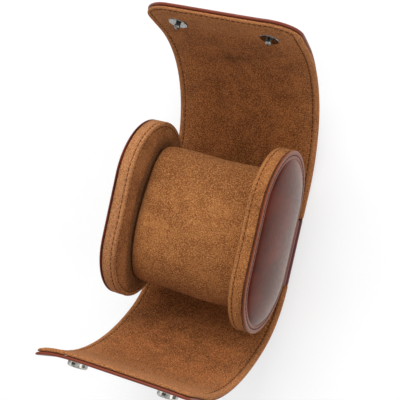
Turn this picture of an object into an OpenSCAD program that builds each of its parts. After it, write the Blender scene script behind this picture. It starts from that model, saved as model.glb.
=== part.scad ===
// Travel case for one watch: a padded leather wrap lined with suede, two padded end caps on
// leather necks, a pillow that lifts out, and two ball snaps.
// The case lies open on the back of its wrap. X runs across the wrap, Y along it towards the
// flap with the studs, and Z up into the case. The origin is on the table, between the caps.

/* [Wrap] */
// Width of the wrap
wrap_w = 69; // [64:0.5:80]
// Thickness of the outer leather
leather_t = 1.3; // [1.1:0.1:1.8]
// Thickness of the foam inside the wrap
foam_t = 1; // [0.9:0.1:1.6]
// Thickness of the suede lining
lining_t = 0.7; // [0.5:0.1:1]
// How far the foam stops inside the stitched edge
foam_inset = 3; // [2:0.5:6]
// Radius of the upper flap's corners
flap_corner_r = 13; // [6:0.5:15]
// Radius of the lower flap's corners
lower_corner_r = 2.5; // [1:0.5:12]
// Length of the stiff spine between the flaps' first folds
spine_len = 34; // [31:0.5:44]
// Middle of the spine, measured from the middle of the caps
spine_mid = -5; // [-7:0.5:-3]

/* [Upper flap] */
// Flat run next to the spine
upper_flat = 9; // [5:0.5:16]
// Radius of the bend, at the lining
upper_bend_r = 59.5; // [45:0.5:75]
// Angle of the bend
upper_bend_deg = 76; // [50:1:90]
// Straight run at the tip
upper_tip = 26; // [23:0.5:34]

/* [Lower flap] */
// Radius of the heel next to the spine, at the lining
lower_heel_r = 32; // [24:0.5:44]
// Angle of the heel
lower_heel_deg = 54; // [40:1:65]
// Radius of the long sweep, at the lining
lower_sweep_r = 74; // [55:1:100]
// Angle of the sweep
lower_sweep_deg = 48; // [30:1:60]
// Straight run at the tip
lower_tip = 15; // [8:0.5:20]

/* [Folds] */
// Gap between two segments at the lining, where the wrap folds
fold_gap = 0.2; // [0.1:0.05:0.4]
// How much wider that gap is at the leather
fold_relief = 0.4; // [0.3:0.05:0.8]

/* [End caps] */
// Length of a cap, along the wrap
cap_len = 80; // [66:1:96]
// Depth of a cap, away from the spine
cap_depth = 51.6; // [44:0.2:60]
// Free height between the lining and a cap
cap_lift = 5.6; // [4:0.2:8]
// Thickness of a cap from its inner face to its stitched flange
cap_t = 7.5; // [6:0.5:12]
// Thickness of the leather face
face_t = 1.1; // [0.8:0.1:1.5]
// Width of the flat flange round the face's padding
flange_w = 3.8; // [3:0.2:6]
// Height of the padded crown over the flange
crown_h = 2.2; // [1:0.2:3.5]
// Thickness of the caps' suede
suede_t = 0.8; // [0.6:0.1:1.2]
// Groove between the side band and the leather face
groove_w = 0.4; // [0.2:0.1:0.8]

/* [Necks] */
// Width of a neck, along the wrap
neck_len = 30; // [20:1:31]
// Middle of a neck, measured from the middle of the caps
neck_mid = -5.5; // [-6:0.5:-4]

/* [Pillow] */
// Height of the pillow, along the wrap
pillow_h = 65; // [50:1:72]
// Depth of the pillow
pillow_d = 34; // [28:1:42]
// Middle of the pillow along the wrap
pillow_mid = -2.3; // [-4:0.1:0]
// How far the pillow sits deeper than the middle of the caps
pillow_drop = 2; // [0:0.5:4]
// Thickness of the pillow's suede
cover_t = 0.9; // [0.7:0.1:1.4]
// How far the pillow draws in at its ends
draw_in = 1.8; // [1:0.2:3]
// Running gap between the pillow and each cap
pillow_gap = 0.3; // [0.2:0.1:0.8]

/* [Snaps] */
// Distance between the two snaps
snap_pitch = 41; // [30:1:46]
// Radius of a stud's flange and of a socket
snap_r = 4.25; // [3.5:0.25:5]
// Distance from the upper flap's tip to a stud
stud_inset = 14.5; // [9:0.5:18]
// Distance from the lower flap's tip to a socket
socket_inset = 7; // [6:0.5:11]
// Radius of a stud's ball
ball_r = 1.3; // [1:0.1:1.4]
// Play between a ball and its socket
ball_play = 0.5; // [0.3:0.1:0.8]
// Height of a socket
socket_h = 2.6; // [2.2:0.1:3.2]
// Windows in the wall of a socket
socket_windows = 6; // [3:1:8]

/* [Hidden] */
$fn = 96;
segs = 5;
wrap_t = leather_t + foam_t + lining_t;
spine_lo = spine_mid - spine_len / 2;
spine_hi = spine_mid + spine_len / 2;
upper_arcs = [[upper_flat, 0],
              [upper_bend_r * upper_bend_deg * PI / 180, upper_bend_deg],
              [upper_tip, 0]];
lower_arcs = [[lower_heel_r * lower_heel_deg * PI / 180, lower_heel_deg],
              [lower_sweep_r * lower_sweep_deg * PI / 180, lower_sweep_deg],
              [lower_tip, 0]];
band_steps = 6;

face_x = wrap_w / 2 - 0.3;
cap_x = face_x - cap_t;
cap_r = cap_depth / 2;
cap_run = cap_len - cap_depth;
cap_z = wrap_t + cap_lift + cap_r;
neck_z = wrap_t + cap_lift / 2;
neck_play = 0.1;
lining_x = cap_x + suede_t;

pillow_len = 2 * (cap_x - pillow_gap);
pillow_z = cap_z - pillow_drop;
pillow_sides = 40;
pillow_rings = [-1, -0.96, -0.88, -0.7, -0.35, 0, 0.35, 0.7, 0.88, 0.96, 1];

flange_t = 0.5;
post_r = 0.9;
post_play = 0.05;
rivet_r = 3.4;
rivet_t = 0.5;
socket_wall = 0.5;
socket_floor = 0.2;
spring_wire_r = 0.22;

leather_c = "#7a3426";
suede_c = "#a86e3e";
foam_c = "#e4d9c4";
metal_c = "#b9b6ae";

// A flap is a run of arcs, each [length, turn]. A state on it is [away from spine, height, slope].
function advance(st, arc, l) =
    let (slope = arc[1] / arc[0], end = st[2] + slope * l)
    arc[1] == 0
        ? [st[0] + l * cos(st[2]), st[1] + l * sin(st[2]), st[2]]
        : let (r = 180 / (PI * slope))
          [st[0] + r * (sin(end) - sin(st[2])), st[1] + r * (cos(st[2]) - cos(end)), end];
function along(s, arcs, i = 0, st = [0, 0, 0]) =
    i == len(arcs) - 1 || s <= arcs[i][0]
        ? advance(st, arcs[i], s)
        : along(s - arcs[i][0], arcs, i + 1, advance(st, arcs[i], arcs[i][0]));
function run_of(arcs, i = 0) = i == len(arcs) ? 0 : arcs[i][0] + run_of(arcs, i + 1);

// The point at length s, depth n below the lining's surface
function wrap_point(s, n, arcs) =
    let (st = along(s, arcs))
    [st[0] + n * sin(st[2]), st[1] - n * cos(st[2])];
function fold_cut(n) = fold_gap / 2 + fold_relief / 2 * n / wrap_t;

// One layer of the wrap between lengths s0 and s1, from depth n0 to n1, w wide.
// An end that is a fold is cut back, wider towards the leather.
module layer(arcs, s0, s1, n0, n1, w, free_end = false) {
    end_cut = free_end ? 0 : 1;
    near = [for (i = [0 : band_steps])
        wrap_point(s0 + fold_cut(n0)
            + (s1 - end_cut * fold_cut(n0) - s0 - fold_cut(n0)) * i / band_steps, n0, arcs)];
    far = [for (i = [band_steps : -1 : 0])
        wrap_point(s0 + fold_cut(n1)
            + (s1 - end_cut * fold_cut(n1) - s0 - fold_cut(n1)) * i / band_steps, n1, arcs)];
    rotate([90, 0, 90])
        linear_extrude(w, center = true)
            polygon(concat(near, far));
}

// The flat outline of a flap's tip, its end at the origin and its run towards -Y
module tip_outline(w, l, r) {
    translate([-w / 2, -l]) square([w, l - r]);
    translate([-w / 2 + r, -l]) square([w - 2 * r, l]);
    for (x = [-1, 1]) translate([x * (w / 2 - r), -r]) circle(r);
}

// Places children on a flap at length s and depth n, +Z into the case
module on_flap(arcs, s, n) {
    st = along(s, arcs);
    translate([0, st[0] + n * sin(st[2]), st[1] - n * cos(st[2])])
        rotate([st[2], 0, 0])
            children();
}

// Segment k of a flap in one layer; the last one has the rounded corners
module segment(arcs, k, n0, n1, inset, corner_r) {
    run = run_of(arcs);
    s0 = run * (k - 1) / segs;
    s1 = run * k / segs;
    w = wrap_w - 2 * inset;
    if (k < segs) {
        layer(arcs, s0, s1, n0, n1, w);
    } else {
        intersection() {
            layer(arcs, s0, s1, n0, n1, w, true);
            on_flap(arcs, run - inset, 0)
                linear_extrude(20, center = true)
                    tip_outline(w, 2 * (s1 - s0), max(corner_r - inset, 0.5));
        }
    }
}
module upper() { translate([0, spine_hi, wrap_t]) children(); }
module lower() { translate([0, spine_lo, wrap_t]) mirror([0, 1, 0]) children(); }

// Both snaps of a flap, or one of them: side is -1, 1 or 0 for both
module at_snaps(side) {
    for (x = side == 0 ? [-1, 1] : [side]) translate([x * snap_pitch / 2, 0, 0]) children();
}

module upper_leather(k) {
    color(leather_c) upper() segment(upper_arcs, k, lining_t + foam_t, wrap_t, 0, flap_corner_r);
}
module upper_foam(k) {
    color(foam_c) upper() difference() {
        segment(upper_arcs, k, lining_t, lining_t + foam_t, foam_inset, flap_corner_r);
        if (k == segs) stud_place(0) translate([0, 0, -lining_t - rivet_t - post_play])
            cylinder(r = rivet_r + post_play, h = rivet_t + 2 * post_play);
    }
}
module upper_lining(k) {
    color(suede_c) upper() difference() {
        segment(upper_arcs, k, 0, lining_t, 0, flap_corner_r);
        if (k == segs) stud_place(0)
            cylinder(r = post_r + post_play, h = 3 * lining_t, center = true);
    }
}
module lower_leather(k) {
    color(leather_c) lower() difference() {
        segment(lower_arcs, k, lining_t + foam_t, wrap_t, 0, lower_corner_r);
        if (k == segs) socket_place(0)
            cylinder(r = post_r + post_play, h = 3 * leather_t, center = true);
    }
}
module lower_foam(k) {
    color(foam_c) lower() difference() {
        segment(lower_arcs, k, lining_t, lining_t + foam_t, foam_inset, lower_corner_r);
        if (k == segs) socket_place(0) translate([0, 0, -leather_t - rivet_t - post_play])
            cylinder(r = rivet_r + post_play, h = rivet_t + 2 * post_play);
    }
}
module lower_lining(k) {
    color(suede_c) lower() segment(lower_arcs, k, 0, lining_t, 0, lower_corner_r);
}

// The spine is a flat run with a fold at each end
module spine_layer(n0, n1, inset) {
    translate([0, spine_lo, wrap_t])
        layer([[spine_len, 0]], 0, spine_len, n0, n1, wrap_w - 2 * inset);
}
module spine_leather() { color(leather_c) spine_layer(lining_t + foam_t, wrap_t, 0); }
module spine_foam() { color(foam_c) spine_layer(lining_t, lining_t + foam_t, foam_inset); }
// The lining is notched where the necks stand
module spine_lining() {
    notch_in = wrap_w / 2 - face_x + face_t + 0.2;
    color(suede_c) difference() {
        spine_layer(0, lining_t, 0);
        for (x = [-1, 1])
            translate([x * wrap_w / 2, neck_mid, wrap_t])
                cube([2 * notch_in, neck_len + 0.4, 4 * lining_t], center = true);
    }
}

// A solid with a stadium outline: its profile [radius, height] turns round both ends
module stadium_solid(profile, run) {
    for (a = [0, 180]) rotate([0, 0, a])
        translate([0, run / 2, 0]) rotate_extrude(angle = 180) polygon(profile);
    rotate([90, 0, 0]) linear_extrude(run, center = true) {
        polygon(profile);
        mirror([1, 0]) polygon(profile);
    }
}
// A cap's own frame: +Z out through its leather face, side -1 or 1, x its distance out
module on_cap(side, x) {
    translate([side * x, 0, cap_z]) rotate([0, side * 90, 0]) children();
}
// The crown's height over the flange, an ellipse from the flange's inner edge to the middle
crown_r = cap_r - flange_w;
function crown(r_top, h) = [for (a = [0 : 10 : 90]) [r_top * cos(a), h * sin(a)]];

module cap_face(side) {
    outer = [for (p = crown(crown_r, crown_h)) [p[0], p[1] + face_t]];
    inner = crown(crown_r - face_t / 2, crown_h);
    color(leather_c) on_cap(side, face_x - face_t)
        stadium_solid(concat([[cap_r, 0], [cap_r, face_t]], outer,
            [for (i = [len(inner) - 1 : -1 : 0]) inner[i]]), cap_run);
}
module cap_pad(side) {
    color(foam_c) on_cap(side, face_x - face_t)
        stadium_solid(concat([[0, 0]], crown(crown_r - face_t / 2, crown_h)), cap_run);
}
module cap_core(side) {
    h = face_x - face_t - lining_x;
    r = cap_r - suede_t;
    color(foam_c) on_cap(side, lining_x)
        stadium_solid([[0, 0], [r, 0], [r, h], [0, h]], cap_run);
}
module cap_band(side) {
    h = face_x - face_t - lining_x - groove_w;
    r = cap_r - suede_t;
    color(suede_c) on_cap(side, lining_x)
        stadium_solid([[r, 0], [cap_r, 0], [cap_r, h], [r, h]], cap_run);
}
// The inner face has a rolled edge where it is sewn to the band
module cap_lining(side) {
    roll = [for (a = [0 : 15 : 90]) [cap_r - suede_t + suede_t * cos(a), suede_t - suede_t * sin(a)]];
    color(suede_c) on_cap(side, cap_x)
        stadium_solid(concat([[0, suede_t]], roll, [[0, 0]]), cap_run);
}

// A neck is one strip of leather, folded at its middle: a base on the wrap's edge and a tab
// that meets the edge of the cap's face
module neck_strip(side, z0, z1) {
    translate([side * (face_x - face_t / 2), neck_mid, (z0 + z1) / 2])
        cube([face_t, neck_len, z1 - z0], center = true);
}
module neck_base(side) { color(leather_c) neck_strip(side, leather_t, neck_z - neck_play); }
module neck_tab(side) {
    color(leather_c) difference() {
        neck_strip(side, neck_z + neck_play, cap_z - cap_r / 2);
        on_cap(side, face_x - 2 * face_t)
            stadium_solid([[0, 0], [cap_r, 0], [cap_r, 3 * face_t], [0, 3 * face_t]], cap_run);
    }
}

// The pillow is an oval carried along X. It swells in the middle and draws in at its ends
function oval(a, b) =
    [for (i = [0 : pillow_sides - 1]) [b * cos(360 * i / pillow_sides), a * sin(360 * i / pillow_sides)]];
function drawn(t) = draw_in * (1 - sqrt(max(0, 1 - pow(abs(t), 6))));
module pillow_loft(l, skin) {
    m = pillow_sides;
    rings = len(pillow_rings);
    points = [for (t = pillow_rings)
        for (p = oval(pillow_d / 2 - drawn(t) - skin, pillow_h / 2 - drawn(t) - skin))
            [t * l / 2, p[0], p[1]]];
    sides = [for (j = [0 : rings - 2]) for (i = [0 : m - 1])
        let (a = j * m + i, b = j * m + (i + 1) % m)
        [a, a + m, b + m, b]];
    ends = [[for (i = [0 : m - 1]) i], [for (i = [m - 1 : -1 : 0]) (rings - 1) * m + i]];
    translate([0, pillow_mid, pillow_z])
        polyhedron(points, concat(sides, ends), convexity = 2);
}
module pillow_end_plug(side, h) {
    translate([side * (pillow_len / 2 - cover_t), pillow_mid, pillow_z])
        rotate([90, 0, 90])
            translate([0, 0, side > 0 ? 0 : -h])
                linear_extrude(h)
                    polygon(oval(pillow_d / 2 - draw_in - cover_t, pillow_h / 2 - draw_in - cover_t));
}
module pillow_cover() {
    color(suede_c) difference() {
        pillow_loft(pillow_len, 0);
        pillow_loft(pillow_len - 2 * cover_t, cover_t);
        for (side = [-1, 1]) pillow_end_plug(side, 3 * cover_t);
    }
}
module pillow_foam() { color(foam_c) pillow_loft(pillow_len - 2 * cover_t, cover_t); }
module pillow_end(side) { color(suede_c) pillow_end_plug(side, cover_t); }

// A stud stands on the lining of the upper flap, +Z into the case
module stud_place(side) {
    on_flap(upper_arcs, run_of(upper_arcs) - stud_inset, 0) at_snaps(side) children();
}
module snap_stud(side) {
    ball_z = flange_t + socket_h / 2 - 0.15;
    neck_r = ball_r - 0.4;
    neck_top = ball_z - sqrt(ball_r * ball_r - neck_r * neck_r);
    color(metal_c) upper() stud_place(side) rotate_extrude() {
        polygon([[0, 0], [snap_r, 0], [snap_r, flange_t / 2], [snap_r - flange_t / 2, flange_t],
                 [neck_r + 0.4, flange_t], [neck_r, flange_t + 0.15], [neck_r, neck_top], [0, neck_top]]);
        polygon(concat([[0, neck_top]],
            [for (a = [-acos(neck_r / ball_r) : 12 : 90]) [ball_r * cos(a), ball_z + ball_r * sin(a)]],
            [[0, ball_z + ball_r]]));
    }
}
module stud_rivets() {
    color(metal_c) upper() stud_place(0) {
        translate([0, 0, -lining_t]) cylinder(r = post_r, h = lining_t);
        translate([0, 0, -lining_t - rivet_t]) cylinder(r = rivet_r, h = rivet_t);
    }
}

// A socket stands on the leather of the lower flap, +Z out of the case
module socket_place(side) {
    on_flap(lower_arcs, run_of(lower_arcs) - socket_inset, wrap_t)
        rotate([180, 0, 0]) at_snaps(side) children();
}
module snap_socket(side) {
    bore_r = ball_r + ball_play;
    cavity_r = snap_r - 2 * socket_wall;
    color(metal_c) lower() socket_place(side) difference() {
        rotate_extrude() polygon([[0, 0], [snap_r, 0], [snap_r, socket_h - socket_wall],
            [snap_r - socket_wall, socket_h], [bore_r, socket_h],
            [bore_r, socket_h - socket_wall], [cavity_r, socket_h - socket_wall],
            [cavity_r, socket_floor], [0, socket_floor]]);
        for (i = [1 : socket_windows]) rotate([0, 0, 360 * (i + 0.5) / socket_windows])
            translate([snap_r, 0, socket_h / 2])
                cube([4 * socket_wall, 1.6, socket_h - 3 * socket_wall], center = true);
    }
}
// Two straight wires in each socket snap over the ball
module socket_springs() {
    wire_len = 2 * sqrt(pow(snap_r - 2 * socket_wall, 2) - pow(ball_r + ball_play, 2)) - 0.3;
    color(metal_c) lower() socket_place(0) for (y = [-1, 1])
        translate([0, y * (ball_r + ball_play), socket_h - socket_wall - spring_wire_r - 0.02])
            rotate([0, 90, 0]) cylinder(r = spring_wire_r, h = wire_len, center = true);
}
module socket_rivets() {
    color(metal_c) lower() socket_place(0) {
        translate([0, 0, -leather_t]) cylinder(r = post_r, h = leather_t);
        translate([0, 0, -leather_t - rivet_t]) cylinder(r = rivet_r, h = rivet_t);
    }
}

spine_leather();
spine_foam();
spine_lining();
for (k = [1 : segs]) {
    upper_leather(k);
    upper_foam(k);
    upper_lining(k);
    lower_leather(k);
    lower_foam(k);
    lower_lining(k);
}
cap_face(-1);  // left_cap_face
cap_pad(-1);  // left_cap_pad
cap_core(-1);  // left_cap_core
cap_band(-1);  // left_cap_band
cap_lining(-1);  // left_cap_lining
cap_face(1);  // right_cap_face
cap_pad(1);  // right_cap_pad
cap_core(1);  // right_cap_core
cap_band(1);  // right_cap_band
cap_lining(1);  // right_cap_lining
neck_base(-1);  // left_neck_base
neck_tab(-1);  // left_neck_tab
neck_base(1);  // right_neck_base
neck_tab(1);  // right_neck_tab
pillow_cover();
pillow_foam();
pillow_end(-1);  // pillow_end_left
pillow_end(1);  // pillow_end_right
snap_stud(-1);  // snap_stud_left
snap_stud(1);  // snap_stud_right
stud_rivets();
snap_socket(-1);  // snap_socket_left
snap_socket(1);  // snap_socket_right
socket_springs();
socket_rivets();
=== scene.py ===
import bpy
import numpy as np
from mathutils import Matrix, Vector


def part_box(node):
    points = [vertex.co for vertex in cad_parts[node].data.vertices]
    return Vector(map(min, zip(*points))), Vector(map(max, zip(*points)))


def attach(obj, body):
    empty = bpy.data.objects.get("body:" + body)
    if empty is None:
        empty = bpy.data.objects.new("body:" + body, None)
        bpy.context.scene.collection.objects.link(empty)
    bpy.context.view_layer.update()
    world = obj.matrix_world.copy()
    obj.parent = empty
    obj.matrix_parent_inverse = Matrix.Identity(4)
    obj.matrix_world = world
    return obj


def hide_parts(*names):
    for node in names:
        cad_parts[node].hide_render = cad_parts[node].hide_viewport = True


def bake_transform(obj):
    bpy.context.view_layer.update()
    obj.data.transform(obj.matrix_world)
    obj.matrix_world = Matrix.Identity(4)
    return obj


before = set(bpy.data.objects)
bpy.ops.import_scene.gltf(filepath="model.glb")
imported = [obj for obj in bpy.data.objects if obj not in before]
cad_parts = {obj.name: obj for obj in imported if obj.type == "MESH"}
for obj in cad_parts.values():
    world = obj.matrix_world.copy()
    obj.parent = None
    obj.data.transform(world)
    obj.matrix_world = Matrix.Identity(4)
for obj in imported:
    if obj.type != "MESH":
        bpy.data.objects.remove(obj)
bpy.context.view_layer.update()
MM = 0.001

# Camera. It looks down on the open case from beyond its right end cap, close enough for the
# lens to spread the flaps. The rows say which way the picture's right, top and back point.
PICTURE_RIGHT = np.array([0.8980, 0.2140, -0.3840])
PICTURE_UP = np.array([-0.2260, 0.9740, 0.0140])
EYE = np.array([0.1584, 0.0418, 0.4320])
picture_right = PICTURE_RIGHT / np.linalg.norm(PICTURE_RIGHT)
picture_back = np.cross(picture_right, PICTURE_UP)
picture_back /= np.linalg.norm(picture_back)
picture_up = np.cross(picture_back, picture_right)
lens = bpy.data.cameras.new("camera")
lens.sensor_width = 36
lens.lens = 88.3
lens.clip_start = 0.01
camera = bpy.data.objects.new("camera", lens)
bpy.context.scene.collection.objects.link(camera)
turn = np.eye(4)
turn[:3, :3] = np.stack([picture_right, picture_up, picture_back], axis=1)
turn[:3, 3] = EYE
camera.matrix_world = Matrix(turn.tolist())
bpy.context.scene.camera = camera


# The wrap is one padded strip: outer leather, a thin foam and a suede lining, sewn together
# 3 mm inside their edges. It lies on its spine, and both of its flaps curl up. Lengths along
# it are counted from the middle of the spine, in millimetres, positive towards the studs.
WRAP_T = 3.0
HALF_W = 34.5
UPPER_CORNER = 13.0
LOWER_CORNER = 2.5
SPINE_MID = -5.0
SPINE_HALF = 17.0
UPPER_ARCS = ((9.0, 0.0), (59.5 * np.radians(76), 76.0), (26.0, 0.0))
LOWER_ARCS = ((32.0 * np.radians(54), 54.0), (74.0 * np.radians(48), 48.0), (15.0, 0.0))
UPPER_RUN = sum(arc[0] for arc in UPPER_ARCS)
LOWER_RUN = sum(arc[0] for arc in LOWER_ARCS)
# The upper tip is worn in a little short of its cut length, and the lower one pulled out
UPPER_EXTRA = -1.4
LOWER_EXTRA = 3.0
FOLDS = 5
SEAM_IN = 3.0
STITCH_PITCH = 2.3
STITCH_LENGTH, STITCH_WIDTH, STITCH_HEIGHT = 1.65, 0.44, 0.3
NECK_MID = -5.5
NECK_HALF = 15.2
# Spacing of the outline's stations, the inset past which a face runs to its middle line, and
# the radius of the rolled edges
STATION = 0.7
MIDDLE_FROM = 12.0
ROLL_R = 1.0


def smooth(t):
    """A soft step from 0 to 1: 3t^2 - 2t^3, flat outside 0..1."""
    t = np.clip(t, 0.0, 1.0)
    return t * t * (3.0 - 2.0 * t)


def hump(t):
    """A bell, exp(-t^2)."""
    return np.exp(-np.square(t))


def flap_line(length, arcs):
    """Distance from the spine, height and slope along a flap that is a run of arcs. An arc of
    radius r from slope a to slope b moves r(sin b - sin a) outwards and r(cos a - cos b) up."""
    away = np.zeros_like(length)
    height = np.zeros_like(length)
    slope = np.zeros_like(length)
    left = length
    for i, (run, turned) in enumerate(arcs):
        here = np.maximum(left, 0.0) if i == len(arcs) - 1 else np.clip(left, 0.0, run)
        if turned:
            rate = np.radians(turned) / run
            end = slope + rate * here
            away = away + (np.sin(end) - np.sin(slope)) / rate
            height = height + (np.cos(slope) - np.cos(end)) / rate
            slope = end
        else:
            away = away + here * np.cos(slope)
            height = height + here * np.sin(slope)
        left = left - run
    return away, height, slope


def on_wrap(x, s, depth):
    """The point x across the wrap, s along it and depth below the lining: the flap's line,
    moved against its normal (side sin, -cos)."""
    side = np.where(s < 0, -1.0, 1.0)
    beyond = np.maximum(np.abs(s) - SPINE_HALF, 0.0)
    up, low = flap_line(beyond, UPPER_ARCS), flap_line(beyond, LOWER_ARCS)
    away, height, slope = (np.where(s < 0, b, a) for a, b in zip(up, low))
    y = SPINE_MID + side * (np.minimum(np.abs(s), SPINE_HALF) + away)
    return np.stack([
        x + 0.0 * y,
        y + side * depth * np.sin(slope),
        WRAP_T + height - depth * np.cos(slope)], axis=-1)


def flap_share(s):
    """0 on the spine to 1 at the tip of either flap."""
    beyond = np.maximum(np.abs(s) - SPINE_HALF, 0.0)
    return beyond / np.where(s < 0, LOWER_RUN, UPPER_RUN)


def skew(s):
    """The lower flap leans to the left with the cube of the distance from the spine."""
    return np.where(s < 0, -1.6, 0.0) * flap_share(s) ** 3


def warp(x, s):
    """How far the whole wrap stands off its plain shape: the left corner of the lower flap and
    the right one of the upper curl out, with the 5th power of the distance from the middle and
    the 1.5th power of the distance from the spine. The lower right one curls out an eighth as
    far, and the upper left one leans in a fifth as far."""
    outwards = np.where(s < 0, -2.6, 1.5) * (x / HALF_W) ** 5
    share = np.where(outwards > 0, 1.0, np.where(s < 0, -0.12, 0.2))
    return share * outwards * flap_share(s) ** 1.5


# Outline of the flat wrap, once round: right side upwards, upper tip, left side, lower tip.
# The sides have a station at each cut between two pieces, half way along a segment.
S_HIGH = SPINE_HALF + UPPER_RUN + UPPER_EXTRA
S_LOW = -SPINE_HALF - LOWER_RUN - LOWER_EXTRA
CUTS_UP = [SPINE_HALF + UPPER_RUN * (k - 0.5) / FOLDS for k in range(1, FOLDS)]
CUTS_LOW = [-SPINE_HALF - LOWER_RUN * (k - 0.5) / FOLDS for k in range(1, FOLDS)]
cuts = sorted(CUTS_LOW + [0.0] + CUTS_UP)
marks = [S_LOW + LOWER_CORNER] + cuts + [S_HIGH - UPPER_CORNER]
runs = [np.linspace(a, b, max(2, int(round((b - a) / STATION))) + 1)[:-1]
        for a, b in zip(marks, marks[1:])]
side_s = np.concatenate(runs + [[marks[-1]]])
arc = np.radians(np.linspace(0, 90, 27))[1:-1]
across = np.linspace(1.0, -1.0, 62)


def inset(d):
    """The wrap's outline d mm inside its edge: straight sides joined by arcs. The upper corners
    keep their middle and the lower ones open out by a third of d. Past MIDDLE_FROM each point
    goes straight on to the middle line."""
    reach = min(float(d), MIDDLE_FROM)
    high_r = UPPER_CORNER - reach
    low_r = LOWER_CORNER + 0.34 * reach
    half = HALF_W - reach
    high, low = S_HIGH - reach - high_r, S_LOW + reach + low_r
    side = np.interp(side_s, [marks[0], cuts[0], cuts[-1], marks[-1]],
                     [low, cuts[0], cuts[-1], high])
    x = np.concatenate([
        np.full(len(side), half), half - high_r * (1 - np.cos(arc)), across * (half - high_r),
        high_r * (1 - np.sin(arc)) - half, np.full(len(side), -half),
        low_r * (1 - np.cos(arc)) - half, -across * (half - low_r),
        half - low_r * (1 - np.sin(arc))])
    s = np.concatenate([
        side, high + high_r * np.sin(arc), np.full(len(across), high + high_r),
        high + high_r * np.cos(arc), side[::-1],
        low - low_r * np.sin(arc), np.full(len(across), low - low_r), low - low_r * np.cos(arc)])
    t = np.clip((d - MIDDLE_FROM) / (HALF_W - MIDDLE_FROM), 0.0, 1.0)
    return x * (1 - t), s + (np.clip(s, cuts[0], cuts[-1]) - s) * t


outline_s = inset(0.0)[1]
# 1 where the leather is turned over the edge, at the tips and a little down the sides
tip_edge = np.maximum(smooth((outline_s - S_HIGH + 46.0) / 34.0),
                      smooth((S_LOW + 26.0 - outline_s) / 22.0))


def neck_notch(s, d):
    """How far the lining, d mm inside its edge, is cut back for a neck."""
    beside_neck = smooth((NECK_HALF + 1.0 - np.abs(SPINE_MID + s - NECK_MID)) / 1.2)
    return beside_neck * 2.4 * smooth((9.0 - d) / 8.0)


# Each piece of the wrap: its flap, its number, and the bodies below and above its fold
WRAP_ZONES = [(flap, k, "spine" if k == 1 else f"{flap}_{k - 1}", f"{flap}_{k}")
              for flap in ("upper", "lower") for k in range(1, FOLDS + 1)]


def zone_columns(flap, k):
    """Numbers of the outline's stations in one piece of the wrap, as one run round a tip or as
    a run up the right side and one down the left."""
    stations = [0.0] + (CUTS_UP if flap == "upper" else CUTS_LOW)
    count = len(outline_s)
    left_first = len(side_s) + len(across) + 2 * len(arc)
    at = [int(np.argmin(np.abs(side_s - s))) for s in stations]
    mirror = lambda i: left_first + len(side_s) - 1 - i
    if k == FOLDS:
        a = at[-1]
        if flap == "upper":
            return [np.arange(a, mirror(a) + 1)]
        return [np.arange(mirror(a), count + a + 1) % count]
    a, b = sorted((at[k - 1], at[k]))
    return [np.arange(a, b + 1), np.arange(mirror(b), mirror(a) + 1)]


def strip_quads(rows, columns):
    """Corner numbers of the quads between all neighbours of a grid, row by row."""
    i = np.arange(rows - 1)[:, None] * columns + np.arange(columns - 1)[None, :]
    return np.stack([i, i + columns, i + columns + 1, i + 1], axis=-1).reshape(-1, 4)


def ring_quads(rows, columns):
    """The same for a grid whose last column joins its first."""
    i = np.arange(rows - 1)[:, None] * columns + np.arange(columns)[None, :]
    j = np.arange(rows - 1)[:, None] * columns + (np.arange(columns)[None, :] + 1) % columns
    return np.stack([i, i + columns, j + columns, j], axis=-1).reshape(-1, 4)


def ring_normals(points):
    """Unit normals of such a grid from the cross product of its central differences."""
    down = np.gradient(points, axis=0)
    over = (np.roll(points, -1, axis=1) - np.roll(points, 1, axis=1)) / 2
    normal = np.cross(down, over)
    size = np.linalg.norm(normal, axis=-1, keepdims=True)
    return np.where(size > 1e-12, normal / np.maximum(size, 1e-12), 0.0)


def weld(points, faces, normals=None):
    """Merges points that coincide and averages their normals. Faces that lose a corner become
    triangles, and those that lose two are dropped. Gives the points, faces and normals that are
    left, and the old number of each point."""
    _, first, number = np.unique(np.round(points * 1e4), axis=0,
                                 return_index=True, return_inverse=True)
    number = number.reshape(-1)
    merged = number[faces]
    lost = (merged == np.roll(merged, -1, axis=1)).any(axis=1) | (merged[:, 0] == merged[:, 2])
    whole = merged[~lost].tolist()
    cut = [list(dict.fromkeys(f)) for f in merged[lost].tolist()]
    kept = whole + [f for f in cut if len(f) > 2]
    total = None
    if normals is not None:
        total = np.zeros((len(first), 3))
        np.add.at(total, number, normals)
        total /= np.maximum(np.linalg.norm(total, axis=1, keepdims=True), 1e-12)
    return points[first], kept, total, first


def add_piece(name, parts, materials):
    """A mesh object in metres from parts, each a dict with points in millimetres, faces,
    material number, and where given normals and a value per point called wear, which holds
    rubbing and also painted light and shade."""
    points, faces, slots, normals, wear_and_painted_light, start = [], [], [], [], [], 0
    for part in parts:
        count = len(part["points"])
        points.append(part["points"] * MM)
        faces += [[i + start for i in f] for f in part["faces"]]
        slots += [part.get("material", 0)] * len(part["faces"])
        given = part.get("normals")
        normals.append(np.zeros((count, 3)) if given is None else given)
        wear_and_painted_light.append(np.broadcast_to(part.get("wear_and_painted_light", 0.0), (count,)))
        start += count
    mesh = bpy.data.meshes.new(name)
    mesh.from_pydata(np.concatenate(points).tolist(), [], faces)
    mesh.polygons.foreach_set("material_index", np.array(slots, dtype=np.int32))
    mesh.polygons.foreach_set("use_smooth", np.full(len(faces), True))
    # The value per point: rubbing, and on some pieces painted light and shade
    layer = mesh.attributes.new("wear_and_painted_light", "FLOAT", "POINT")
    layer.data.foreach_set("value", np.concatenate(wear_and_painted_light).astype(np.float32))
    for material in materials:
        mesh.materials.append(material)
    normals = np.concatenate(normals)
    if np.abs(normals).max() > 0:
        corner = np.empty(len(mesh.loops), dtype=np.int32)
        mesh.loops.foreach_get("vertex_index", corner)
        mesh.normals_split_custom_set(normals[corner].tolist())
    mesh.validate()
    piece = bpy.data.objects.new(name, mesh)
    bpy.context.scene.collection.objects.link(piece)
    return piece


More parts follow.
